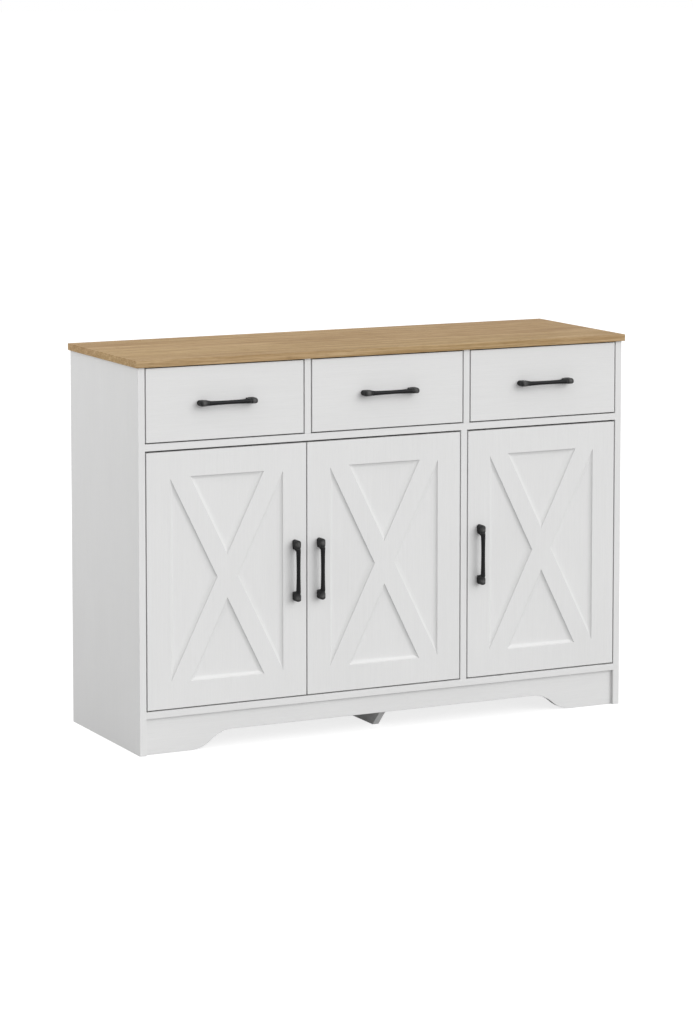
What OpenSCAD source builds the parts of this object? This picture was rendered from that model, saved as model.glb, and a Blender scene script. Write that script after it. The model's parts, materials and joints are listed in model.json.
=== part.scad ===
// Sideboard buffet with three drawers above a double and a single cupboard.
// X runs along the front, Y towards the back and Z up. The origin is on the floor,
// in the middle of the overall footprint with the pulls counted in.

/* [Cabinet] */
// Length of the worktop
top_w = 1200; // [1100:1:1300]
// Depth of the worktop
top_d = 390; // [370:1:420]
// Height of the worktop above the floor
cabinet_h = 852; // [800:1:900]
// How far the worktop stands out at each end
top_end_lip = 6; // [2:0.5:12]
// How far the worktop stands out at the front
top_front_lip = 6; // [2:0.5:12]
// Thickness of every board
board = 15; // [15:0.5:18]
// Thickness of the hardboard back and drawer bottoms
thin_board = 3; // [2.5:0.1:4]
// Height of the bottom panel above the floor
plinth_h = 80; // [70:1:110]
// Depth of the rabbet that takes the back panels, across a side panel's thickness
rabbet_w = 7; // [5:0.5:9]

/* [Drawer row] */
// Clear height of the drawer openings
drawer_opening_h = 164.5; // [150:0.5:180]
// Thickness of the drawer box sides and back
drawer_side_t = 12; // [10:0.5:15]
// Height of the drawer box sides
drawer_side_h = 110; // [90:1:120]
// Length of the drawer box behind its front
drawer_box_l = 330; // [300:1:340]
// Height of the drawer box above the mid panel
drawer_box_lift = 17.5; // [14:0.5:24]

/* [Doors] */
// Gap all round each door and drawer front
gap = 3; // [2:0.25:4]
// Width of the flat border around a door's sunk fields
border_w = 55.5; // [48:0.5:64]
// Width of the two crossing braces
brace_w = 42; // [30:0.2:50]
// Rise of a brace for each unit along the door's width
brace_slope = 2.01; // [1.8:0.05:2.2]
// Depth of the sunk fields
sink_depth = 6.5; // [3:0.25:8]
// Width of the cove around each sunk field
cove_w = 16; // [8:0.5:20]

/* [Pulls] */
// Distance between a pull's two screws
pull_centres = 128; // [96:1:160]
// How far a pull stands out from the face
pull_reach = 24.5; // [22:0.5:30]
// Distance from a door's free edge to its pull
pull_inset = 28; // [24:0.5:36]
// Half the width of a pull's foot
pull_foot_r = 6.4; // [5.5:0.1:7]
// Radius of the grip at its waist
pull_waist_r = 4.2; // [3.4:0.1:4.6]
// Radius of the grip where it meets the feet
pull_neck_r = 5.2; // [4.7:0.1:5.4]

/* [Plinth] */
// Setback of the apron behind the front edges
apron_setback = 8; // [4:0.5:14]
// Height of the arch cut in the apron
arch_h = 38; // [30:0.5:48]
// Half the width of the straight part of the arch
arch_half_w = 373; // [330:1:400]
// Length of the S-curve at each end of the arch
ogee_run = 100; // [80:1:120]
// Size of the cut on the centre support's lower front corner
support_chamfer = 37; // [20:1:45]

/* [Shelves] */
// Height of the shelf pins above the bottom panel
pin_lift = 270.5; // [240:0.5:310]
// Distance between the rows of pin holes
pin_pitch = 32; // [25:1:40]
// Setback of the shelves behind the front edges
shelf_setback = 40; // [35:1:80]

/* [Hinges] */
// Distance from a door's end to the middle of its hinge
hinge_inset = 90; // [75:1:120]
// Radius of the cup bored in the door
cup_bore_r = 17.55; // [17.52:0.01:17.6]
// Distance from the door's hinge edge to the middle of the cup
cup_inset = 22.5; // [22:0.25:23]
// Depth of the cup bore
cup_bore_depth = 11.5; // [11:0.1:12]
// Distance between a cup's two press-in plugs
plug_pitch = 48; // [45:1:52]

/* [Slides] */
// Length of the fixed and the moving slide members
slide_l = 300; // [270:5:310]
// Height of a slide
slide_h = 45; // [35:1:46]
// Width that a slide takes up beside the drawer box
slide_w = 12.7; // [12.5:0.1:13]

/* [Hidden] */
$fn = 48;

// Positions in a door or drawer row
LEFT = 0;
MIDDLE = 1;
RIGHT = 2;

WHITE = "whitesmoke";
OAK = "burlywood";
TAN = "tan";
BLACK = "dimgray";
STEEL = "silver";

// Overlap that carries a cut cleanly past a face
cut = 1;
// Flats that make up the curve of a cove
cove_steps = 8;

// Carcass, in a frame whose Y is 0 at the front edges
cab_w = top_w - 2 * top_end_lip;
cab_d = top_d - top_front_lip;
front_y = (pull_reach - cab_d) / 2;
inner_x = cab_w / 2 - board;
side_h = cabinet_h - board;
mid_z = side_h - drawer_opening_h - board;
cupboard_z = plinth_h + board;
cupboard_h = mid_z - cupboard_z;
inner_d = cab_d - thin_board;

// Drawer row: three equal openings between two dividers
opening_w = (2 * inner_x - 2 * board) / 3;
drawer_z = mid_z + board;
drawer_front_w = opening_w - 2 * gap;
drawer_front_h = drawer_opening_h - 2 * gap;
drawer_pull_z = drawer_z + drawer_opening_h / 2;
drawer_box_w = opening_w - 2 * slide_w;
drawer_box_z = drawer_z + drawer_box_lift;
drawer_bottom_lift = 8;
drawer_bottom_z = drawer_box_z + drawer_bottom_lift;
groove_h = thin_board + 0.2;
groove_depth = 5.5;
bottom_tongue = 5;

// Doors: one shared width, with the divider between the second and the third
door_w = (2 * inner_x - board - 5 * gap) / 3;
door_drop = 1;
door_h = cupboard_h - 2 * gap - door_drop;
door_z = cupboard_z + gap;
divider_x = inner_x - door_w - 2 * gap - board;
door_x = [-inner_x + gap, divider_x - gap - door_w, divider_x + board + gap];
hinged_right = [false, true, true];
hinge_zs = [door_z + hinge_inset, door_z + door_h - hinge_inset];

// Back panels meet behind the divider
back_seam = 0.5;
back_x = inner_x + rabbet_w - back_seam;
back_split = (divider_x + board + opening_w / 2) / 2;

// Shelves and their pins
pin_r = 2.45;
pin_hole_r = 2.5;
pin_hole_depth = 7;
pin_head_r = 3.5;
pin_head_l = 7;
pin_ys = [75, 340];
pin_z = cupboard_z + pin_lift;
pin_rows = [-1, 0, 1];
shelf_z = pin_z + pin_head_r;
shelf_slack = 1;
shelf_rear_gap = 3;

// Cam fittings: a disc in a pocket, with a bolt into the next board
cam_r = 7.5;
cam_h = 12.3;
cam_pocket_r = 7.55;
cam_pocket_h = 12.5;
cam_inset = 34;
cam_ys = [50, 330];
cam_slot_w = 1.6;
cam_slot_depth = 2;
cam_bolt_r = 3;
cam_bolt_hole_r = 3.5;
cam_thread_r = 2.45;
cam_thread_hole_r = 2.5;
cam_thread_l = 10;
cam_thread_hole_l = 10.5;

// Pulls and their screws
grip_y = -pull_reach + pull_neck_r;
foot_neck_shift = 16;
foot_tip_l = 4;
foot_lean = 4;
foot_corner_r = 5;
foot_corner_steps = 6;
thread_r = 2;
tapped_r = 2.05;
screw_clear_r = 2.4;
screw_head_r = 4;
screw_head_h = 2.2;
screw_reach = 10;

// Hinge: virtual pivot, nose pin and cup, measured from the door's hinge edge and front face
pivot = [5, 5];
nose = [18, 12];
nose_r = 2.5;
nose_pin_r = 1.2;
nose_eye_r = 1.5;
arm_w = 14;
arm_slot_w = 8.8;
link_w = 8;
link_reach = 15.8;
link_tip_r = 1.1;
link_rest_tilt = -4;
// Bowed outline of a link, from its eye at the origin to its tip
link_outline = [
    [-1.1, 0.3], [0.7, 5.6], [4.9, 7.7], [10.9, 7.7], [15.1, 5.6], [16.9, 0],
    [14.7, 0], [13.3, 4.2], [10.3, 5.5], [5.5, 5.5], [2.5, 4.2], [1.1, -0.3]
];
cup_r = 17.4;
cup_wall = 1.2;
cup_rim_r = 19;
cup_rim_t = 1;
plug_r = 4;
plug_hole_r = 4.05;
plug_l = 9;
plug_hole_depth = 9.3;
plug_shift = 6;
wing_w = 12;
plate_t = 2;
plate_y = 26;
plate_l = 38;
plate_wing_y = 38;
plate_wing_w = 12;
plate_wing_l = 52;
plate_screw_z = 19.5;
plate_screw_r = 3.8;
plate_screw_h = 2.2;
arm_top = 9.5;
arm_back = 62;
arm_slot_y = 21;
// Side outline of an arm, from its plate to its nose
arm_outline = [
    [-1, 27], [-1, arm_back], [arm_top, arm_back], [arm_top, 30], [19.9, 17.4], [20.4, 12.4],
    nose, [15.5, 12.2], [15.2, 15.2], [7, arm_slot_y], [3, 27]
];

// Slides: nested channels
steel_t = 1.2;
slide_y = board + 5;
slide_z = drawer_box_z + drawer_side_h / 2;
rail_depth = slide_w - 2.5;
middle_x = steel_t + 0.8;
middle_depth = slide_w - 2;
middle_h = slide_h - 10;
middle_l = slide_l - 10;
runner_depth = slide_w - 4.5;
runner_h = slide_h - 21;

// ---------- helpers ----------

// Puts the carcass frame, with Y at 0 on the front edges, in the part's frame
module from_front() translate([0, front_y, 0]) children();

// Box given by its lowest and highest corners
module span(low, high) translate(low) cube(high - low);

module mirror_x(flip) {
    if (flip) mirror([1, 0, 0]) children();
    else children();
}

// Cylinder along +Y from the given point
module rod_y(point, r, l) translate(point) rotate([-90, 0, 0]) cylinder(r = r, h = l);

// Cylinder along +X from the given point
module rod_x(point, r, l) translate(point) rotate([0, 90, 0]) cylinder(r = r, h = l);

// Local X runs from the door's hinge edge into the door
module at_hinge_edge(d) {
    edge = hinged_right[d] ? door_x[d] + door_w : door_x[d];
    from_front() translate([edge, 0, 0]) mirror_x(hinged_right[d]) children();
}

// Both hinges of one door
module at_hinges(d) {
    for (z = hinge_zs) at_hinge_edge(d) translate([0, 0, z]) children();
}

// Middle of one drawer opening, at the floor and the front edges
module at_drawer(d) {
    from_front() translate([(d - 1) * (opening_w + board), 0, 0]) children();
}

// Both slides of one drawer: local X runs from the cabinet wall to the drawer box
module at_slides(d) {
    for (flip = [false, true])
        at_drawer(d) mirror_x(flip) translate([-opening_w / 2, slide_y, slide_z]) children();
}

// ---------- carcass ----------

module top_panel() color(OAK) from_front() difference() {
    span([-top_w / 2, -top_front_lip, side_h], [top_w / 2, cab_d, cabinet_h]);
    for (s = [-1, 1], y = cam_ys)
        translate([s * (inner_x + board / 2), y, side_h - cut])
            cylinder(r = cam_thread_hole_r, h = cam_thread_hole_l + cut);
}

// Right-hand side panel, with the back's rabbet, pin holes and fitting holes
module side_panel() difference() {
    span([inner_x, 0, 0], [cab_w / 2, cab_d, side_h]);
    span([inner_x - cut, inner_d, plinth_h], [inner_x + rabbet_w, cab_d + cut, side_h + cut]);
    for (y = pin_ys, row = pin_rows)
        rod_x([inner_x - cut, y, pin_z + row * pin_pitch], pin_hole_r, pin_hole_depth + cut);
    for (y = cam_ys) {
        for (z = [plinth_h, mid_z])
            rod_x([inner_x - cut, y, z + board / 2], cam_thread_hole_r, cam_thread_hole_l + cut);
        rod_x([inner_x - cut, y, side_h - cam_inset], cam_pocket_r, cam_pocket_h + cut);
        translate([inner_x + board / 2, y, side_h - cam_inset])
            cylinder(r = cam_bolt_hole_r, h = cam_inset + cut);
    }
}

module left_side_panel() color(WHITE) from_front() mirror([1, 0, 0]) side_panel();

module right_side_panel() color(WHITE) from_front() side_panel();

// Full-width board with a cam pocket and bolt hole at each corner
module cross_board(z) difference() {
    span([-inner_x, 0, z], [inner_x, inner_d, z + board]);
    for (s = [0, 1], y = cam_ys) mirror([s, 0, 0]) {
        translate([inner_x - cam_inset, y, z - cut]) cylinder(r = cam_pocket_r, h = cam_pocket_h + cut);
        rod_x([inner_x - cam_inset, y, z + board / 2], cam_bolt_hole_r, cam_inset + cut);
    }
}

module mid_panel() color(WHITE) from_front() cross_board(mid_z);

module bottom_panel() color(WHITE) from_front() cross_board(plinth_h);

module drawer_divider(side) color(WHITE) from_front()
    translate([side * (opening_w + board) / 2 - board / 2, 0, drawer_z])
        cube([board, inner_d, drawer_opening_h]);

module door_divider() color(WHITE) from_front() difference() {
    span([divider_x, 0, cupboard_z], [divider_x + board, inner_d, mid_z]);
    for (y = pin_ys, row = pin_rows) {
        z = pin_z + row * pin_pitch;
        rod_x([divider_x - cut, y, z], pin_hole_r, pin_hole_depth + cut);
        rod_x([divider_x + board - pin_hole_depth, y, z], pin_hole_r, pin_hole_depth + cut);
    }
}

// Apron with an arch that ends in two equal arcs, tangent to each other, at each side
module front_apron() color(WHITE) from_front() {
    ogee_r = (ogee_run * ogee_run + arch_h * arch_h) / (4 * arch_h);
    foot_x = arch_half_w + ogee_run;
    bend_x = arch_half_w + ogee_run / 2;
    back_y = apron_setback + board;
    difference() {
        span([-inner_x, apron_setback, 0], [inner_x, back_y, plinth_h]);
        span([-arch_half_w, -cut, -cut], [arch_half_w, back_y + cut, arch_h]);
        for (s = [0, 1]) mirror([s, 0, 0]) {
            intersection() {
                rod_y([arch_half_w, -cut, arch_h - ogee_r], ogee_r, back_y + 2 * cut, $fn = 180);
                span([arch_half_w - cut, -cut, -cut], [bend_x, back_y + cut, arch_h]);
            }
            difference() {
                span([bend_x - cut, -cut, -cut], [foot_x, back_y + cut, arch_h / 2]);
                rod_y([foot_x, -2 * cut, ogee_r], ogee_r, back_y + 4 * cut, $fn = 180);
            }
        }
    }
}

module centre_support() color(WHITE) from_front() {
    support_y = apron_setback + board;
    rotate([90, 0, 90]) translate([0, 0, -board / 2]) linear_extrude(board) polygon([
        [support_y + support_chamfer, 0], [inner_d, 0],
        [inner_d, plinth_h], [support_y, plinth_h], [support_y, support_chamfer]
    ]);
}

module wide_back_panel() color(TAN) from_front()
    span([-back_x, inner_d, plinth_h], [back_split - back_seam / 2, cab_d, side_h]);

module narrow_back_panel() color(TAN) from_front()
    span([back_split + back_seam / 2, inner_d, plinth_h], [back_x, cab_d, side_h]);

module shelf(x0, x1) color(WHITE) from_front()
    span([x0 + shelf_slack, shelf_setback, shelf_z],
        [x1 - shelf_slack, inner_d - shelf_rear_gap, shelf_z + board]);

// Pin whose head points along +X
module shelf_pin(x, y) {
    rod_x([x - pin_hole_depth + 0.5, y, pin_z], pin_r, pin_hole_depth);
    rod_x([x, y, pin_z], pin_head_r, pin_head_l);
}

module shelf_pins() color(STEEL) from_front() {
    for (y = pin_ys) {
        shelf_pin(-inner_x, y);
        shelf_pin(divider_x + board, y);
        mirror([1, 0, 0]) shelf_pin(-inner_x, y);
        mirror([1, 0, 0]) shelf_pin(-divider_x, y);
    }
}

// Cam with its face at z = 0 and its bolt along +X to a board that starts at cam_inset
module cam_fitting() {
    difference() {
        cylinder(r = cam_r, h = cam_h);
        for (turn = [0, 90]) rotate(turn)
            translate([-cam_r / 2, -cam_slot_w / 2, -cut]) cube([cam_r, cam_slot_w, cam_slot_depth + cut]);
    }
    rod_x([cam_r - cut, 0, board / 2], cam_bolt_r, cam_inset - cam_r + cut);
    rod_x([cam_inset, 0, board / 2], cam_thread_r, cam_thread_l);
}

module cam_fittings() color(STEEL) from_front() {
    for (s = [0, 1], y = cam_ys) mirror([s, 0, 0]) {
        for (z = [plinth_h, mid_z]) translate([inner_x - cam_inset, y, z]) cam_fitting();
        translate([inner_x, y, side_h - cam_inset]) mirror([1, 0, 0]) rotate([0, -90, 0]) cam_fitting();
    }
}

// ---------- slides ----------

// Channel of given height between two depths, open towards the far side
module channel(x0, x1, h, l) difference() {
    translate([x0, 0, -h / 2]) cube([x1 - x0, l, h]);
    translate([x0 + steel_t, -cut, -h / 2 + steel_t]) cube([x1 - x0, l + 2 * cut, h - 2 * steel_t]);
}

module cabinet_rails() color(STEEL)
    for (d = [LEFT, MIDDLE, RIGHT]) at_slides(d) channel(0, rail_depth, slide_h, slide_l);

module slide_middles(d) color(STEEL) at_slides(d)
    channel(middle_x, middle_depth, middle_h, middle_l);

module drawer_runners(d) color(STEEL) at_slides(d)
    translate([slide_w, 0, 0]) mirror([1, 0, 0]) channel(0, runner_depth, runner_h, slide_l);

// ---------- drawers ----------

// Groove for the drawer bottom, between two points on the box
module bottom_groove(low, high)
    span([low.x, low.y, drawer_bottom_z], [high.x, high.y, drawer_bottom_z + groove_h]);

module drawer_front(d) color(WHITE) at_drawer(d) {
    half = drawer_box_w / 2 - drawer_side_t + groove_depth;
    difference() {
        translate([-drawer_front_w / 2, 0, drawer_z + gap]) cube([drawer_front_w, board, drawer_front_h]);
        bottom_groove([-half, board - groove_depth], [half, board + cut]);
        for (s = [-1, 1])
            rod_y([s * pull_centres / 2, -cut, drawer_pull_z], screw_clear_r, board + 2 * cut);
    }
}

// Left-hand drawer side
module drawer_side() difference() {
    translate([-drawer_box_w / 2, board, drawer_box_z]) cube([drawer_side_t, drawer_box_l, drawer_side_h]);
    bottom_groove([-drawer_box_w / 2 + drawer_side_t - groove_depth, board - cut],
        [0, board + drawer_box_l + cut]);
}

module drawer_left_side(d) color(WHITE) at_drawer(d) drawer_side();

module drawer_right_side(d) color(WHITE) at_drawer(d) mirror([1, 0, 0]) drawer_side();

module drawer_back(d) color(WHITE) at_drawer(d) {
    half = drawer_box_w / 2 - drawer_side_t;
    rear = board + drawer_box_l;
    difference() {
        span([-half, rear - drawer_side_t, drawer_box_z], [half, rear, drawer_box_z + drawer_side_h]);
        bottom_groove([-half - cut, rear - drawer_side_t - cut],
            [half + cut, rear - drawer_side_t + groove_depth]);
    }
}

module drawer_bottom(d) color(TAN) at_drawer(d) {
    half = drawer_box_w / 2 - drawer_side_t + bottom_tongue;
    rear = board + drawer_box_l - drawer_side_t + bottom_tongue;
    span([-half, board - bottom_tongue, drawer_bottom_z], [half, rear, drawer_bottom_z + thin_board]);
}

// ---------- pulls ----------

// Upper foot seen along X: a leg that leans inwards to the grip, with a rounded outer corner
module foot_outline(foot_z) {
    tip_z = foot_z + foot_tip_l;
    neck_z = foot_z - foot_neck_shift - pull_neck_r;
    corner = [for (i = [0 : foot_corner_steps]) let (a = 90 * i / foot_corner_steps)
        [foot_corner_r * (1 - sin(a)) - pull_reach, tip_z - foot_corner_r * (1 - cos(a))]];
    polygon(concat([[0, neck_z + foot_lean], [0, tip_z]], corner,
        [[-pull_reach, neck_z], [2 * pull_neck_r - pull_reach, neck_z]]));
}

// Pull along Z, centred on the origin, with its feet on the plane y = 0
module pull() color(BLACK) {
    foot_z = pull_centres / 2;
    grip_l = 2 * (foot_z - foot_neck_shift);
    waist = [for (i = [-12 : 12]) let (t = i / 12)
        [pull_waist_r + (pull_neck_r - pull_waist_r) * t * t, t * grip_l / 2]];
    translate([0, grip_y, 0]) rotate_extrude()
        polygon(concat([[0, -grip_l / 2]], waist, [[0, grip_l / 2]]));
    for (s = [0, 1]) mirror([0, 0, s]) difference() {
        intersection() {
            translate([0, 0, foot_z]) rotate([90, 0, 0]) linear_extrude(pull_reach) hull() {
                scale([1, foot_tip_l / pull_foot_r]) circle(r = pull_foot_r, $fn = 32);
                translate([0, -foot_neck_shift]) circle(r = pull_neck_r, $fn = 32);
            }
            rotate([90, 0, 90]) linear_extrude(2 * pull_foot_r + 2 * cut, center = true)
                foot_outline(foot_z);
        }
        rod_y([0, -screw_reach - cut, foot_z], tapped_r, screw_reach + 2 * cut);
    }
}

// Two machine screws along Z spacing, driven from behind a board
module pull_screws() color(STEEL)
    for (z = [-pull_centres / 2, pull_centres / 2]) {
        rod_y([0, -screw_reach, z], thread_r, screw_reach + board);
        difference() {
            rod_y([0, board, z], screw_head_r, screw_head_h);
            for (turn = [0, 90]) translate([0, board + screw_head_h, z]) rotate([0, turn, 0])
                cube([4.4, 2 * cut, 1], center = true);
        }
    }

module at_drawer_pull(d) at_drawer(d) translate([0, 0, drawer_pull_z]) rotate([0, 90, 0]) children();

module at_door_pull(d) at_hinge_edge(d) translate([door_w - pull_inset, 0, door_z + door_h / 2]) children();

module drawer_pull(d) at_drawer_pull(d) pull();

module drawer_pull_screws(d) at_drawer_pull(d) pull_screws();

module door_pull(d) at_door_pull(d) pull();

module door_pull_screws(d) at_door_pull(d) pull_screws();

// ---------- doors ----------

// Point at the same distance from all three sides of a triangle
function incentre(p) =
    let (a = norm(p[1] - p[2]), b = norm(p[2] - p[0]), c = norm(p[0] - p[1]))
    (a * p[0] + b * p[1] + c * p[2]) / (a + b + c);

// That distance
function inradius(p) =
    let (u = p[1] - p[0], v = p[2] - p[0])
    abs(cross(u, v)) / (norm(u) + norm(v) + norm(p[2] - p[1]));

// Triangular sunk field with coved sides, from its corners in the door's own width and height.
// Each ring is the triangle again, further in and deeper along a quarter of an ellipse.
module sunk_field(corners) {
    centre = incentre(corners);
    cove = [for (i = [0:cove_steps]) let (t = 90 * i / cove_steps)
        [cove_w * (1 - cos(t)), sink_depth * sin(t)]];
    rings = concat([[0, -cut]], cove);
    last = len(rings) - 1;
    points = [for (ring = rings, p = corners)
        let (q = centre + (p - centre) * (1 - ring[0] / inradius(corners))) [q.x, ring[1], q.y]];
    mouth = [2, 1, 0];
    bed = [3 * last, 3 * last + 1, 3 * last + 2];
    walls = [for (r = [0:last - 1], i = [0:2])
        let (j = (i + 1) % 3) [3 * r + i, 3 * r + j, 3 * r + 3 + j, 3 * r + 3 + i]];
    polyhedron(points, concat([mouth, bed], walls));
}

module door_panel(d) color(WHITE) {
    mid = [door_w / 2, door_h / 2];
    brace_rise = brace_w / 2 * sqrt(1 + brace_slope * brace_slope);
    field_h = mid.y - border_w;
    // Upper field: its base half-width and its lowest point above the door's middle
    base_half = (field_h - brace_rise) / brace_slope;
    // Side field: its tip's distance from the middle and its half-height at the border
    tip = brace_rise / brace_slope;
    side_half = (mid.x - border_w - tip) * brace_slope;
    difference() {
        at_hinge_edge(d) translate([0, 0, door_z]) difference() {
            cube([door_w, board, door_h]);
            translate([mid.x, 0, mid.y]) {
                for (s = [-1, 1]) {
                    sunk_field([[0, s * brace_rise], [s * base_half, s * field_h],
                        [-s * base_half, s * field_h]]);
                    sunk_field([[s * tip, 0], [s * (mid.x - border_w), -s * side_half],
                        [s * (mid.x - border_w), s * side_half]]);
                }
            }
        }
        at_hinges(d) {
            rod_y([cup_inset, board - cup_bore_depth, 0], cup_bore_r, cup_bore_depth + cut, $fn = 96);
            for (s = [-1, 1])
                rod_y([cup_inset + plug_shift, board - plug_hole_depth, s * plug_pitch / 2],
                    plug_hole_r, plug_hole_depth + cut);
        }
        for (s = [-1, 1])
            at_door_pull(d) rod_y([0, -cut, s * pull_centres / 2], screw_clear_r, board + 2 * cut);
    }
}

// ---------- hinges ----------

// Pressed cup with a rim and two wings, open towards the back
module hinge_cups(d) color(STEEL) at_hinges(d) {
    floor_y = board - cup_bore_depth + 0.2;
    difference() {
        union() {
            rod_y([cup_inset, floor_y, 0], cup_r, board - floor_y, $fn = 96);
            rod_y([cup_inset, board, 0], cup_rim_r, cup_rim_t, $fn = 96);
            wing_z = plug_pitch / 2 + wing_w / 2;
            span([cup_inset + plug_shift - wing_w / 2, board, -wing_z],
                [cup_inset + plug_shift + wing_w / 2, board + cup_rim_t, wing_z]);
            for (s = [-1, 1])
                rod_y([cup_inset + plug_shift, board - plug_l, s * plug_pitch / 2], plug_r, plug_l);
        }
        rod_y([cup_inset, floor_y + cup_wall, 0], cup_r - cup_wall, board, $fn = 96);
    }
}

// Channel-shaped arm with a forked nose and its pin, on a cross-shaped plate
module hinge_arm() {
    difference() {
        union() {
            translate([0, 0, -arm_w / 2]) linear_extrude(arm_w) polygon(arm_outline);
            translate([nose.x, nose.y, -arm_w / 2]) cylinder(r = nose_r, h = arm_w);
        }
        span([-gap, 0, -arm_slot_w / 2], [nose.x + 2 * nose_r, arm_slot_y, arm_slot_w / 2]);
        span([-gap, arm_slot_y + 10, steel_t - arm_w / 2],
            [arm_top - steel_t, arm_back + cut, arm_w / 2 - steel_t]);
    }
    translate([nose.x, nose.y, 0.2 - arm_w / 2]) cylinder(r = nose_pin_r, h = arm_w - 0.4);
    translate([-gap, plate_y, -arm_w / 2 - 1]) cube([plate_t, plate_l, arm_w + 2]);
    translate([-gap, plate_wing_y, -plate_wing_l / 2]) cube([plate_t, plate_wing_w, plate_wing_l]);
    for (s = [-1, 1])
        rod_x([plate_t - gap - cut, plate_wing_y + plate_wing_w / 2, s * plate_screw_z],
            plate_screw_r, plate_screw_h + cut);
}

module hinge_arms() color(STEEL) for (d = [LEFT, MIDDLE, RIGHT]) at_hinges(d) hinge_arm();

// Bowed link between the nose pin and the cup
module hinge_links(d) color(STEEL) at_hinges(d)
    translate([nose.x, nose.y, -link_w / 2]) rotate(link_rest_tilt) difference() {
        union() {
            linear_extrude(link_w) polygon(link_outline);
            cylinder(r = nose_r, h = link_w);
            translate([link_reach, 0, 0]) cylinder(r = link_tip_r, h = link_w);
        }
        translate([0, 0, -cut]) cylinder(r = nose_eye_r, h = link_w + 2 * cut);
    }

// ---------- the part ----------

top_panel();
left_side_panel();
right_side_panel();
mid_panel();
bottom_panel();
drawer_divider(-1);  // left_drawer_divider
drawer_divider(1);  // right_drawer_divider
door_divider();
front_apron();
centre_support();
wide_back_panel();
narrow_back_panel();
shelf(-inner_x, divider_x);  // wide_shelf
shelf(divider_x + board, inner_x);  // narrow_shelf
shelf_pins();
cam_fittings();
cabinet_rails();
hinge_arms();

door_panel(LEFT);  // left_door_panel
door_pull(LEFT);  // left_door_pull
door_pull_screws(LEFT);  // left_door_pull_screws
hinge_cups(LEFT);  // left_hinge_cups
hinge_links(LEFT);  // left_hinge_links
door_panel(MIDDLE);  // middle_door_panel
door_pull(MIDDLE);  // middle_door_pull
door_pull_screws(MIDDLE);  // middle_door_pull_screws
hinge_cups(MIDDLE);  // middle_hinge_cups
hinge_links(MIDDLE);  // middle_hinge_links
door_panel(RIGHT);  // right_door_panel
door_pull(RIGHT);  // right_door_pull
door_pull_screws(RIGHT);  // right_door_pull_screws
hinge_cups(RIGHT);  // right_hinge_cups
hinge_links(RIGHT);  // right_hinge_links

drawer_front(LEFT);  // left_drawer_front
drawer_left_side(LEFT);  // left_drawer_left_side
drawer_right_side(LEFT);  // left_drawer_right_side
drawer_back(LEFT);  // left_drawer_back
drawer_bottom(LEFT);  // left_drawer_bottom
drawer_pull(LEFT);  // left_drawer_pull
drawer_pull_screws(LEFT);  // left_drawer_pull_screws
drawer_runners(LEFT);  // left_drawer_runners
slide_middles(LEFT);  // left_slide_middles
drawer_front(MIDDLE);  // middle_drawer_front
drawer_left_side(MIDDLE);  // middle_drawer_left_side
drawer_right_side(MIDDLE);  // middle_drawer_right_side
drawer_back(MIDDLE);  // middle_drawer_back
drawer_bottom(MIDDLE);  // middle_drawer_bottom
drawer_pull(MIDDLE);  // middle_drawer_pull
drawer_pull_screws(MIDDLE);  // middle_drawer_pull_screws
drawer_runners(MIDDLE);  // middle_drawer_runners
slide_middles(MIDDLE);  // middle_slide_middles
drawer_front(RIGHT);  // right_drawer_front
drawer_left_side(RIGHT);  // right_drawer_left_side
drawer_right_side(RIGHT);  // right_drawer_right_side
drawer_back(RIGHT);  // right_drawer_back
drawer_bottom(RIGHT);  // right_drawer_bottom
drawer_pull(RIGHT);  // right_drawer_pull
drawer_pull_screws(RIGHT);  // right_drawer_pull_screws
drawer_runners(RIGHT);  // right_drawer_runners
slide_middles(RIGHT);  // right_slide_middles
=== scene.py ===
"""Looks of the sideboard buffet: board grain, oak worktop, cast pulls, metal fittings, light and camera."""
import json
import math

import bmesh
import bpy
from mathutils import Matrix, Vector


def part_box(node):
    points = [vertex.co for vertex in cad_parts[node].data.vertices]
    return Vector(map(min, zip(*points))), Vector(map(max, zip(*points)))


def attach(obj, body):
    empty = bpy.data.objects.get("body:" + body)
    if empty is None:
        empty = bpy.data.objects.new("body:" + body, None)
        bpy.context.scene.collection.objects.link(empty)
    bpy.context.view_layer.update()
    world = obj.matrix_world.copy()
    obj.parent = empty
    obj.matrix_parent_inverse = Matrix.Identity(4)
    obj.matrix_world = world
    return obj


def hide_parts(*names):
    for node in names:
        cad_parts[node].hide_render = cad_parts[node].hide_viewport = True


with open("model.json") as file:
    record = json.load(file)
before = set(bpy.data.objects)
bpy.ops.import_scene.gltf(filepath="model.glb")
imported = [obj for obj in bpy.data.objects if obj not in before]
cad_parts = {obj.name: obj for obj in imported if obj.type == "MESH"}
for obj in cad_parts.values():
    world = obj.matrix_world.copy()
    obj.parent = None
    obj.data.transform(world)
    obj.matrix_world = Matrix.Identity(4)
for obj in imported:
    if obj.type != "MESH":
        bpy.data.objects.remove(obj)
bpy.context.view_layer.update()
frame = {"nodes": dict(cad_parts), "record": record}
nodes = frame["nodes"]
body_of_node = {n: body for body, members in frame["record"]["behaviour"]["bodies"].items() for n in members}

MM = 0.001
# Metres by which a surface's pattern is moved along each axis, times a piece's own random number
PATTERN_SHIFT = (3.7, 5.3, 7.1)
DOORS = ("left_door", "middle_door", "right_door")
DRAWERS = ("left_drawer", "middle_drawer", "right_drawer")


# ---------- material graphs ----------

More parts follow.
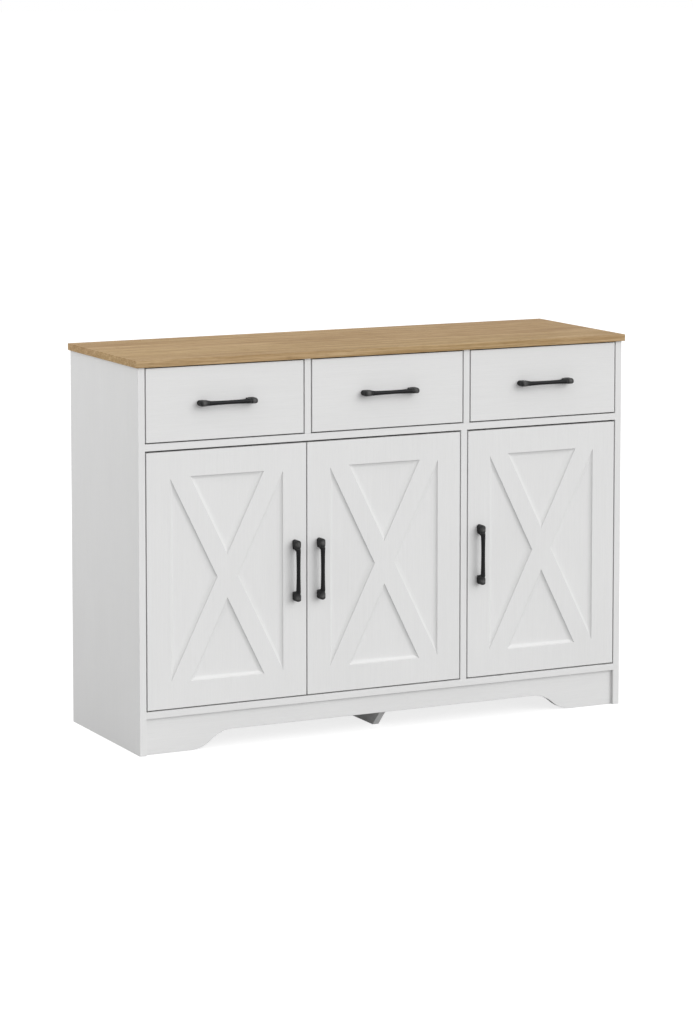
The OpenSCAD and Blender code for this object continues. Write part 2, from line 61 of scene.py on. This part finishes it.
class Graph:
    """A material's node tree, with short calls for the nodes that the surfaces share."""

    def __init__(self, name, base, roughness, metallic=0.0, specular=0.5):
        self.material = bpy.data.materials.new(name)
        self.material.use_nodes = True
        self.material.diffuse_color = (*base, 1.0)
        self.tree = self.material.node_tree
        self.shader = self.tree.nodes["Principled BSDF"]
        self.shader.inputs["Base Color"].default_value = (*base, 1.0)
        self.shader.inputs["Roughness"].default_value = roughness
        self.shader.inputs["Metallic"].default_value = metallic
        self.shader.inputs["Specular IOR Level"].default_value = specular

    def node(self, kind, inputs=(), **settings):
        made = self.tree.nodes.new(kind)
        for key, value in settings.items():
            setattr(made, key, value)
        for key, value in dict(inputs).items():
            self.feed(made.inputs[key], value)
        return made

    def feed(self, socket, value):
        if isinstance(value, bpy.types.NodeSocket):
            self.tree.links.new(value, socket)
        elif isinstance(value, (tuple, list)) and len(value) == 3 and socket.type == "RGBA":
            socket.default_value = (*value, 1.0)
        else:
            socket.default_value = value

    def math(self, operation, a, b=0.0):
        return self.node("ShaderNodeMath", {0: a, 1: b}, operation=operation).outputs[0]

    def remap(self, value, low, high, to_low=0.0, to_high=1.0):
        made = self.node("ShaderNodeMapRange", {"Value": value, "From Min": low, "From Max": high,
                                                "To Min": to_low, "To Max": to_high})
        return made.outputs["Result"]

    def mix(self, amount, a, b):
        made = self.node("ShaderNodeMix", data_type="RGBA")
        self.feed(made.inputs["Factor"], amount)
        self.feed(made.inputs["A"], a)
        self.feed(made.inputs["B"], b)
        return made.outputs["Result"]

    def noise(self, vector, detail=3.0, rough=0.5, distortion=0.0):
        made = self.node("ShaderNodeTexNoise", {"Vector": vector, "Scale": 1.0, "Detail": detail,
                                                "Roughness": rough, "Distortion": distortion})
        return made.outputs["Fac"]

    def place(self, order="XYZ"):
        """Position on the piece in metres with its axes in the given order, shifted piece by piece."""
        point = self.node("ShaderNodeTexCoord").outputs["Object"]
        shift = self.node("ShaderNodeObjectInfo").outputs["Random"]
        shifted = self.node("ShaderNodeVectorMath", {0: point}, operation="ADD")
        moves = {axis: self.math("MULTIPLY", shift, far) for axis, far in zip("XYZ", PATTERN_SHIFT)}
        offset = self.node("ShaderNodeCombineXYZ", moves)
        self.feed(shifted.inputs[1], offset.outputs[0])
        parts = self.node("ShaderNodeSeparateXYZ", {0: shifted.outputs[0]})
        axes = {"X": parts.outputs[0], "Y": parts.outputs[1], "Z": parts.outputs[2]}
        return self.node("ShaderNodeCombineXYZ", dict(zip("XYZ", (axes[a] for a in order)))).outputs[0]

    def stretch(self, vector, x, y, z):
        """A position scaled so that noise read from it has about x, y and z waves to the metre."""
        return self.node("ShaderNodeVectorMath", {0: vector, 1: (x, y, z)}, operation="MULTIPLY").outputs[0]

    def edge(self, radius, strength):
        """The given strength along the piece's edges, falling to 0 within the radius."""
        untouched, fully_worn = 0.995, 0.80
        rounded = self.node("ShaderNodeBevel", {"Radius": radius}, samples=4).outputs[0]
        flat = self.node("ShaderNodeNewGeometry").outputs["Normal"]
        turn = self.node("ShaderNodeVectorMath", {0: rounded, 1: flat}, operation="DOT_PRODUCT")
        return self.remap(turn.outputs["Value"], untouched, fully_worn, 0.0, strength)

    def finish(self, color=None, roughness=None, height=None, bump=0.2, depth=0.0005):
        if color is not None:
            self.feed(self.shader.inputs["Base Color"], color)
        if roughness is not None:
            self.feed(self.shader.inputs["Roughness"], roughness)
        if height is not None:
            made = self.node("ShaderNodeBump", {"Strength": bump, "Distance": depth, "Height": height})
            self.feed(self.shader.inputs["Normal"], made.outputs[0])
        return self.material


def laminate(name, order):
    """White melamine with a pressed grain that runs along the first axis in order."""
    white = (0.765, 0.765, 0.762)
    hollow_white = (0.744, 0.744, 0.741)
    crest_white = (0.784, 0.784, 0.782)
    tick_grey = (0.600, 0.598, 0.590)
    worn_white = (0.830, 0.828, 0.820)
    g = Graph(name, white, 0.42, specular=0.4)
    at = g.place(order)
    figure = g.noise(g.stretch(at, 1.6, 16.0, 16.0), detail=2.0, distortion=0.6)
    bands = g.math("SINE", g.math("MULTIPLY", figure, 46.0))
    streaks = g.noise(g.stretch(at, 9.0, 420.0, 420.0), detail=4.0, rough=0.62)
    ticks = g.remap(g.noise(g.stretch(at, 42.0, 1250.0, 1250.0), detail=2.0), 0.54, 0.68)
    cloud = g.noise(g.stretch(at, 3.0, 7.0, 7.0), detail=2.0)
    tone = g.math("ADD", g.math("MULTIPLY", bands, 0.10), g.remap(streaks, 0.30, 0.70, -0.5, 0.5))
    tone = g.math("ADD", tone, g.remap(cloud, 0.3, 0.7, -0.35, 0.35))
    color = g.mix(g.remap(tone, -0.9, 0.9), hollow_white, crest_white)
    color = g.mix(g.math("MULTIPLY", ticks, 0.10), color, tick_grey)
    worn = g.edge(0.0016, 0.35)
    color = g.mix(worn, color, worn_white)
    rough = g.math("ADD", g.remap(streaks, 0.3, 0.7, 0.36, 0.50), g.math("MULTIPLY", worn, 0.10))
    height = g.math("SUBTRACT", g.math("MULTIPLY", streaks, 0.8), g.math("MULTIPLY", ticks, 0.5))
    return g.finish(color, rough, height, bump=0.22, depth=0.00025)


def oak():
    """Oak-print worktop with its grain along X: faint figure, lively streaks and short dark pores."""
    plain_oak = (0.47, 0.33, 0.18)
    warm_dark = (0.365, 0.238, 0.110)
    warm_pale = (0.580, 0.420, 0.238)
    rosy_dark = (0.360, 0.228, 0.114)
    rosy_pale = (0.560, 0.396, 0.232)
    pore_brown = (0.205, 0.122, 0.060)
    worn_oak = (0.600, 0.450, 0.270)
    g = Graph("oak_top", plain_oak, 0.6, specular=0.04)
    at = g.place("XYZ")
    drift = g.noise(g.stretch(at, 1.2, 4.5, 4.5), detail=2.0)
    figure = g.noise(g.stretch(at, 0.75, 8.5, 8.5), detail=3.0, rough=0.42, distortion=0.5)
    rings = g.math("SINE", g.math("MULTIPLY", figure, 64.0))
    late = g.remap(rings, -0.2, 1.0)
    streaks = g.noise(g.stretch(at, 2.4, 95.0, 190.0), detail=6.0, rough=0.66)
    ticks = g.noise(g.stretch(at, 14.0, 300.0, 420.0), detail=3.0, rough=0.6)
    pores = g.remap(g.noise(g.stretch(at, 34.0, 620.0, 900.0), detail=2.0, rough=0.6), 0.56, 0.66)
    tone = g.math("ADD", g.math("MULTIPLY", late, 0.22), g.remap(streaks, 0.30, 0.70, -0.25, 0.80))
    tone = g.math("ADD", tone, g.remap(ticks, 0.32, 0.68, -0.28, 0.33))
    warm = g.mix(g.remap(tone, 0.0, 1.0), warm_dark, warm_pale)
    rosy = g.mix(g.remap(tone, 0.0, 1.0), rosy_dark, rosy_pale)
    color = g.mix(g.remap(drift, 0.35, 0.65), warm, rosy)
    color = g.mix(g.math("MULTIPLY", pores, 0.45), color, pore_brown)
    worn = g.edge(0.0012, 0.20)
    color = g.mix(worn, color, worn_oak)
    rough = g.math("ADD", g.remap(streaks, 0.3, 0.7, 0.52, 0.66), g.math("MULTIPLY", pores, 0.12))
    height = g.math("SUBTRACT", g.math("MULTIPLY", streaks, 0.6), pores)
    return g.finish(color, rough, height, bump=0.30, depth=0.0003)


def black_iron():
    """Satin black cast metal, fine-grained, with its edges paler from wear and a painted highlight, kept on
    the mesh, on the fronts of the knuckles and collars.
    """
    plain_black = (0.010, 0.010, 0.011)
    deep_black = (0.007, 0.007, 0.008)
    thin_black = (0.013, 0.013, 0.014)
    # Pale grey for the worn edges and for the painted highlight on the knuckle and collar fronts
    worn_and_highlight_grey = (0.115, 0.114, 0.112)
    g = Graph("black_iron", plain_black, 0.48, specular=0.22)
    at = g.place()
    grain = g.noise(g.stretch(at, 900.0, 900.0, 900.0), detail=3.0, rough=0.6)
    patch = g.noise(g.stretch(at, 190.0, 190.0, 190.0), detail=3.0)
    # Painted highlight on the fronts of the knuckles and collars, read from the mesh; worn below holds it
    # together with the edge wear
    painted_highlight_fac = g.node("ShaderNodeAttribute", attribute_name="highlight_paint").outputs["Fac"]
    worn = g.math("MULTIPLY", g.edge(0.0014, 1.0), g.remap(patch, 0.35, 0.65, 0.10, 0.50))
    worn = g.math("MAXIMUM", worn, g.math("MULTIPLY", painted_highlight_fac, g.remap(patch, 0.3, 0.7, 0.45, 1.0)))
    color = g.mix(g.remap(patch, 0.3, 0.7), deep_black, thin_black)
    color = g.mix(worn, color, worn_and_highlight_grey)
    rough = g.math("ADD", g.remap(grain, 0.3, 0.7, 0.40, 0.54), g.math("MULTIPLY", patch, 0.06))
    return g.finish(color, rough, grain, bump=0.25, depth=0.0002)


def zinc():
    """Zinc-plated pressed steel, faintly brushed and blotched."""
    plain_zinc = (0.55, 0.56, 0.57)
    dull_zinc = (0.46, 0.47, 0.49)
    clean_zinc = (0.64, 0.64, 0.63)
    bare_steel = (0.74, 0.74, 0.73)
    g = Graph("zinc_steel", plain_zinc, 0.32, metallic=1.0)
    at = g.place()
    brushed = g.noise(g.stretch(at, 1400.0, 30.0, 1400.0), detail=2.0)
    blotch = g.noise(g.stretch(at, 45.0, 45.0, 45.0), detail=4.0, rough=0.6)
    color = g.mix(g.remap(blotch, 0.3, 0.7), dull_zinc, clean_zinc)
    worn = g.edge(0.0008, 0.5)
    color = g.mix(worn, color, bare_steel)
    rough = g.math("ADD", g.remap(brushed, 0.3, 0.7, 0.24, 0.38), g.remap(blotch, 0.3, 0.7, 0.0, 0.12))
    return g.finish(color, rough, brushed, bump=0.12, depth=0.0001)


def hardboard():
    """Thin painted fibreboard: flat off-white with a felted surface."""
    off_white = (0.66, 0.65, 0.63)
    pale_patch = (0.69, 0.68, 0.66)
    fleck_brown = (0.45, 0.42, 0.38)
    bare_fibre = (0.46, 0.38, 0.29)
    g = Graph("hardboard", off_white, 0.62, specular=0.3)
    at = g.place()
    felt = g.noise(g.stretch(at, 520.0, 520.0, 520.0), detail=4.0, rough=0.7)
    cloud = g.noise(g.stretch(at, 9.0, 9.0, 9.0), detail=3.0)
    fleck = g.remap(g.noise(g.stretch(at, 700.0, 700.0, 260.0), detail=1.0), 0.64, 0.72)
    color = g.mix(g.remap(cloud, 0.3, 0.7), off_white, pale_patch)
    color = g.mix(g.math("MULTIPLY", fleck, 0.25), color, fleck_brown)
    worn = g.edge(0.0012, 0.4)
    color = g.mix(worn, color, bare_fibre)
    return g.finish(color, g.remap(felt, 0.3, 0.7, 0.55, 0.72), felt, bump=0.2, depth=0.0002)


# ---------- CAD nodes ----------

SEAM_GAP = 0.01 * MM
FLAT_WITHIN = 0.5
SHARP_BEYOND = 30


def plain_normals():
    """Geometry nodes that drop the imported normals and shade every face smooth."""
    group = bpy.data.node_groups.new("plain_normals", "GeometryNodeTree")
    group.interface.new_socket("Geometry", in_out="INPUT", socket_type="NodeSocketGeometry")
    group.interface.new_socket("Geometry", in_out="OUTPUT", socket_type="NodeSocketGeometry")
    start = group.nodes.new("NodeGroupInput")
    end = group.nodes.new("NodeGroupOutput")
    normals = group.nodes.new("GeometryNodeSetMeshNormal")
    normals.mode = "SHARPNESS"
    normals.inputs["Remove Custom"].default_value = True
    normals.inputs["Edge Sharpness"].default_value = False
    normals.inputs["Face Sharpness"].default_value = False
    group.links.new(start.outputs[0], normals.inputs["Mesh"])
    group.links.new(normals.outputs[0], end.inputs[0])
    return group


PLAIN_NORMALS = plain_normals()


def soften(piece, width, segments=2):
    """Welds the seams, drops the imported normals, merges flat faces and rounds the sharp edges."""
    weld = piece.modifiers.new("weld", "WELD")
    weld.merge_threshold = SEAM_GAP
    plain = piece.modifiers.new("plain", "NODES")
    plain.node_group = PLAIN_NORMALS
    flat = piece.modifiers.new("flat", "DECIMATE")
    flat.decimate_type = "DISSOLVE"
    flat.angle_limit = math.radians(FLAT_WITHIN)
    bevel = piece.modifiers.new("bevel", "BEVEL")
    bevel.width = width
    bevel.segments = segments
    bevel.limit_method = "ANGLE"
    bevel.angle_limit = math.radians(SHARP_BEYOND)
    normals = piece.modifiers.new("normals", "WEIGHTED_NORMAL")
    normals.mode = "FACE_AREA"
    normals.weight = 50


def coat(piece, material):
    piece.data.materials.clear()
    piece.data.materials.append(material)


# ---------- pulls ----------

# In mm, with distances along a pull measured from its middle and depths from the face it stands on
BAR_HALF = 4.25
BAR_DEPTH = 8.5
BAR_FRONT = 24.0
BAR_SQUARENESS = 2.2
FOOT_IN = 43.0
FOOT_OUT = 47.5
FOOT_SPREAD = 1.40
FOOT_TIP = 5.5
LEG_RUN = 14.0
CORNER_DROP = 7.0
GROOVE_AT = 50.6
GROOVE_REACH = 0.8
# Where the painted highlight sits along a pull, on a collar and on a knuckle, and how far it reaches
COLLAR_AT = 49.2
COLLAR_REACH = 0.6
KNUCKLE_AT = 58.5
KNUCKLE_REACH = 5.5
END_TRIM = 0.6
POINTS_AROUND = 40


def hump(a, middle, reach):
    """A smooth rise to 1 at the middle that has mostly gone one reach away."""
    return math.exp(-((a - middle) / reach) ** 2)


def pull_section(a, half_len):
    """Half-width, back, front, front squareness and back squareness of a pull at distance a."""
    flare = min(a / FOOT_IN, 1.0) ** 2.0
    half = BAR_HALF + 0.75 * flare
    front = BAR_FRONT + 0.4 * flare
    back = front - BAR_DEPTH - 1.5 * flare
    round_front = BAR_SQUARENESS
    round_back = BAR_SQUARENESS
    if a > FOOT_IN:
        down = min((a - FOOT_IN) / (FOOT_OUT - FOOT_IN), 1.0)
        leg = min((a - FOOT_IN) / LEG_RUN, 1.0)
        back *= math.sqrt(max(0.0, 1 - down ** 1.5))
        half += FOOT_SPREAD * math.sin(leg * math.pi / 2)
        round_front += 0.9 * leg
        round_back += 5.0 * down
    groove = hump(a, GROOVE_AT, GROOVE_REACH)
    half -= 0.7 * groove
    front -= 0.9 * groove
    ahead = a - (half_len - FOOT_TIP)
    if ahead > 0:
        turn = min(ahead / FOOT_TIP, 1.0)
        half *= math.sqrt(max(0.0, 1 - turn ** 2.4))
        front -= CORNER_DROP * (1 - math.sqrt(max(0.0, 1 - turn ** 2)))
    return half, back, front, round_front, round_back


def pull_stations(half_len):
    """Places along the pull, closer together round the feet and at the ends."""
    tip = half_len - FOOT_TIP
    along = list(range(0, 35, 5)) + [34, 38, 41, 42.4]
    along += [FOOT_IN + 0.5 * i for i in range(10)]
    along += [GROOVE_AT + step for step in (-2.2, -1.4, -0.8, -0.4, 0, 0.4, 0.8, 1.4, 2.4, 3.9)]
    along += [56, 58, 60, tip]
    along += [tip + FOOT_TIP * math.sin(math.radians(a)) for a in range(10, 90, 8)]
    along = sorted(set(round(v, 3) for v in along))
    return [-v for v in reversed(along) if v > 0] + along


def painted_highlight_at(a, depth, front):
    """How strong the painted highlight is at one point: most on the fronts of the knuckles and collars."""
    knuckle = hump(a, KNUCKLE_AT, KNUCKLE_REACH)
    collar = 0.6 * hump(a, COLLAR_AT, COLLAR_REACH)
    ahead = max(0.0, 1 - (front - depth) / 9.0)
    return max(knuckle, collar) * min(1.0, 1.3 * ahead)


def pull_mesh(name, length):
    """A cast bar pull along Z with its feet on the plane y = 0, facing -Y."""
    half_len = length / MM / 2 - END_TRIM
    mesh = bmesh.new()
    # Each point keeps how strong the black iron's painted highlight is there
    highlight_paint = mesh.verts.layers.float.new("highlight_paint")
    rings = []
    for t in pull_stations(half_len):
        half, back, front, round_front, round_back = pull_section(abs(t), half_len)
        middle, deep = (back + front) / 2, (front - back) / 2
        ring = []
        for i in range(POINTS_AROUND):
            turn = 2 * math.pi * (i + 0.5) / POINTS_AROUND
            c, s = math.cos(turn), math.sin(turn)
            power = 2 / (round_front if s > 0 else round_back)
            x = half * math.copysign(abs(c) ** power, c)
            depth = middle + deep * math.copysign(abs(s) ** power, s)
            vert = mesh.verts.new((x * MM, -depth * MM, t * MM))
            vert[highlight_paint] = painted_highlight_at(abs(t), depth, front)
            ring.append(vert)
        rings.append(ring)
    for low, high in zip(rings, rings[1:]):
        for i in range(POINTS_AROUND):
            j = (i + 1) % POINTS_AROUND
            mesh.faces.new((low[i], low[j], high[j], high[i]))
    mesh.faces.new(list(reversed(rings[0])))
    mesh.faces.new(rings[-1])
    bmesh.ops.recalc_face_normals(mesh, faces=mesh.faces)
    for face in mesh.faces:
        face.smooth = True
    data = bpy.data.meshes.new(name)
    mesh.to_mesh(data)
    mesh.free()
    return data


def add_pull(node, material):
    """Replaces the CAD pull with the cast one, upright or lying as the CAD pull is."""
    low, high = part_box(node)
    size = high - low
    middle = (low + high) / 2
    upright = size.z > size.x
    data = pull_mesh(node + "_cast", max(size.x, size.z))
    turn = Matrix.Identity(4) if upright else Matrix.Rotation(math.radians(90), 4, "Y")
    data.transform(Matrix.Translation((middle.x, high.y, middle.z)) @ turn)
    piece = bpy.data.objects.new(node + "_cast", data)
    bpy.context.scene.collection.objects.link(piece)
    coat(piece, material)
    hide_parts(node)
    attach(piece, body_of_node[node])
    return piece


# ---------- stage ----------

def add_floor():
    """Plain grey floor with a glow that only the camera sees, so that it looks nearly white."""
    reach = 120.0
    grey = (0.40, 0.40, 0.40)
    glow = 0.78
    data = bpy.data.meshes.new("floor")
    corners = [(-reach, -reach, 0), (reach, -reach, 0), (reach, reach, 0), (-reach, reach, 0)]
    data.from_pydata(corners, [], [(0, 1, 2, 3)])
    floor = bpy.data.objects.new("floor", data)
    bpy.context.scene.collection.objects.link(floor)
    g = Graph("floor_paint", grey, 0.9, specular=0.0)
    seen = g.node("ShaderNodeLightPath").outputs["Is Camera Ray"]
    g.shader.inputs["Emission Color"].default_value = (1.0, 1.0, 1.0, 1.0)
    g.feed(g.shader.inputs["Emission Strength"], g.math("MULTIPLY", seen, glow))
    coat(floor, g.finish())


def add_key_light(toward, strength, spread):
    """Wide even light that arrives from the direction toward, over a disc spread degrees wide."""
    light = bpy.data.lights.new("key", "SUN")
    light.energy = strength
    light.angle = math.radians(spread)
    lamp = bpy.data.objects.new("key", light)
    bpy.context.scene.collection.objects.link(lamp)
    lamp.rotation_euler = Vector(toward).to_track_quat("Z", "Y").to_euler()


def add_fill_light(place, target, size, power):
    """Round soft box at place, turned to target and hidden from the camera."""
    light = bpy.data.lights.new("fill", "AREA")
    light.shape = "DISK"
    light.size = size
    light.energy = power
    lamp = bpy.data.objects.new("fill", light)
    bpy.context.scene.collection.objects.link(lamp)
    lamp.location = place
    lamp.rotation_euler = (Vector(target) - Vector(place)).to_track_quat("-Z", "Y").to_euler()
    lamp.visible_camera = False


def add_world(light_level):
    """White surroundings as the camera sees them, and a softer even light on the object."""
    white = (1, 1, 1, 1)
    world = bpy.data.worlds.new("studio")
    bpy.context.scene.world = world
    world.use_nodes = True
    tree = world.node_tree
    tree.nodes.clear()
    out = tree.nodes.new("ShaderNodeOutputWorld")
    mix = tree.nodes.new("ShaderNodeMixShader")
    path = tree.nodes.new("ShaderNodeLightPath")
    seen, lit = (tree.nodes.new("ShaderNodeBackground") for _ in range(2))
    seen.inputs["Color"].default_value = white
    seen.inputs["Strength"].default_value = 1.0
    lit.inputs["Color"].default_value = white
    lit.inputs["Strength"].default_value = light_level
    tree.links.new(path.outputs["Is Camera Ray"], mix.inputs[0])
    tree.links.new(lit.outputs[0], mix.inputs[1])
    tree.links.new(seen.outputs[0], mix.inputs[2])
    tree.links.new(mix.outputs[0], out.inputs[0])


def add_camera(eye, yaw, pitch, lens, shift):
    """Camera at eye, looking yaw degrees from +Y towards +X and pitch degrees down.

    The shift slides the picture up or down in the frame, in parts of the frame's longer side."""
    data = bpy.data.cameras.new("camera")
    data.lens = lens
    data.sensor_width = 36.0
    data.shift_y = shift
    data.dof.use_dof = False
    data.clip_end = 200.0
    camera = bpy.data.objects.new("camera", data)
    camera.location = eye
    camera.rotation_euler = (math.radians(90 - pitch), 0, math.radians(-yaw))
    bpy.context.scene.collection.objects.link(camera)
    bpy.context.scene.camera = camera


# ---------- build ----------

GRAIN_UP = laminate("white_grain_up", "ZXY")
GRAIN_ALONG = laminate("white_grain_along", "XYZ")
GRAIN_BACK = laminate("white_grain_back", "YXZ")
OAK = oak()
IRON = black_iron()
ZINC = zinc()
FELT = hardboard()

# Boards with their grain upright and lengthwise; the rest, the drawers' sides, have it front to back
UPRIGHT_BOARDS = ("side_panel", "divider", "door_panel", "centre_support")
LONG_BOARDS = ("mid_panel", "bottom_panel", "front_apron", "shelf", "drawer_front", "drawer_back")

WORKTOP_ROUND = 1.2 * MM
BOARD_ROUND = 0.7 * MM
THIN_BOARD_ROUND = 0.3 * MM
METAL_ROUND = 0.2 * MM

slot_of = {row["node"]: row["material_slot"] for row in frame["record"]["subparts"]}

for name, piece in nodes.items():
    slot = slot_of[name]
    if slot == "oak_laminate":
        coat(piece, OAK)
        soften(piece, WORKTOP_ROUND, segments=3)
    elif slot == "hardboard":
        coat(piece, FELT)
        soften(piece, THIN_BOARD_ROUND)
    elif slot == "zinc_steel":
        coat(piece, ZINC)
        soften(piece, METAL_ROUND)
    elif slot == "white_laminate":
        if any(key in name for key in UPRIGHT_BOARDS):
            coat(piece, GRAIN_UP)
        elif any(key in name for key in LONG_BOARDS):
            coat(piece, GRAIN_ALONG)
        else:
            coat(piece, GRAIN_BACK)
        soften(piece, BOARD_ROUND)

for group in DOORS + DRAWERS:
    add_pull(group + "_pull", IRON)

add_floor()
add_world(light_level=0.80)
add_key_light(toward=(0.18, -0.34, 0.15), strength=1.36, spread=45)
add_fill_light(place=(-2.3, 0.6, 1.5), target=(-0.6, 0.0, 0.6), size=1.0, power=12.3)
add_camera(eye=(-3.3519, -6.7304, 1.6723), yaw=26.386, pitch=5.686, lens=118.855, shift=-0.2)

scene = bpy.context.scene
scene.view_settings.view_transform = "Standard"
scene.view_settings.look = "None"
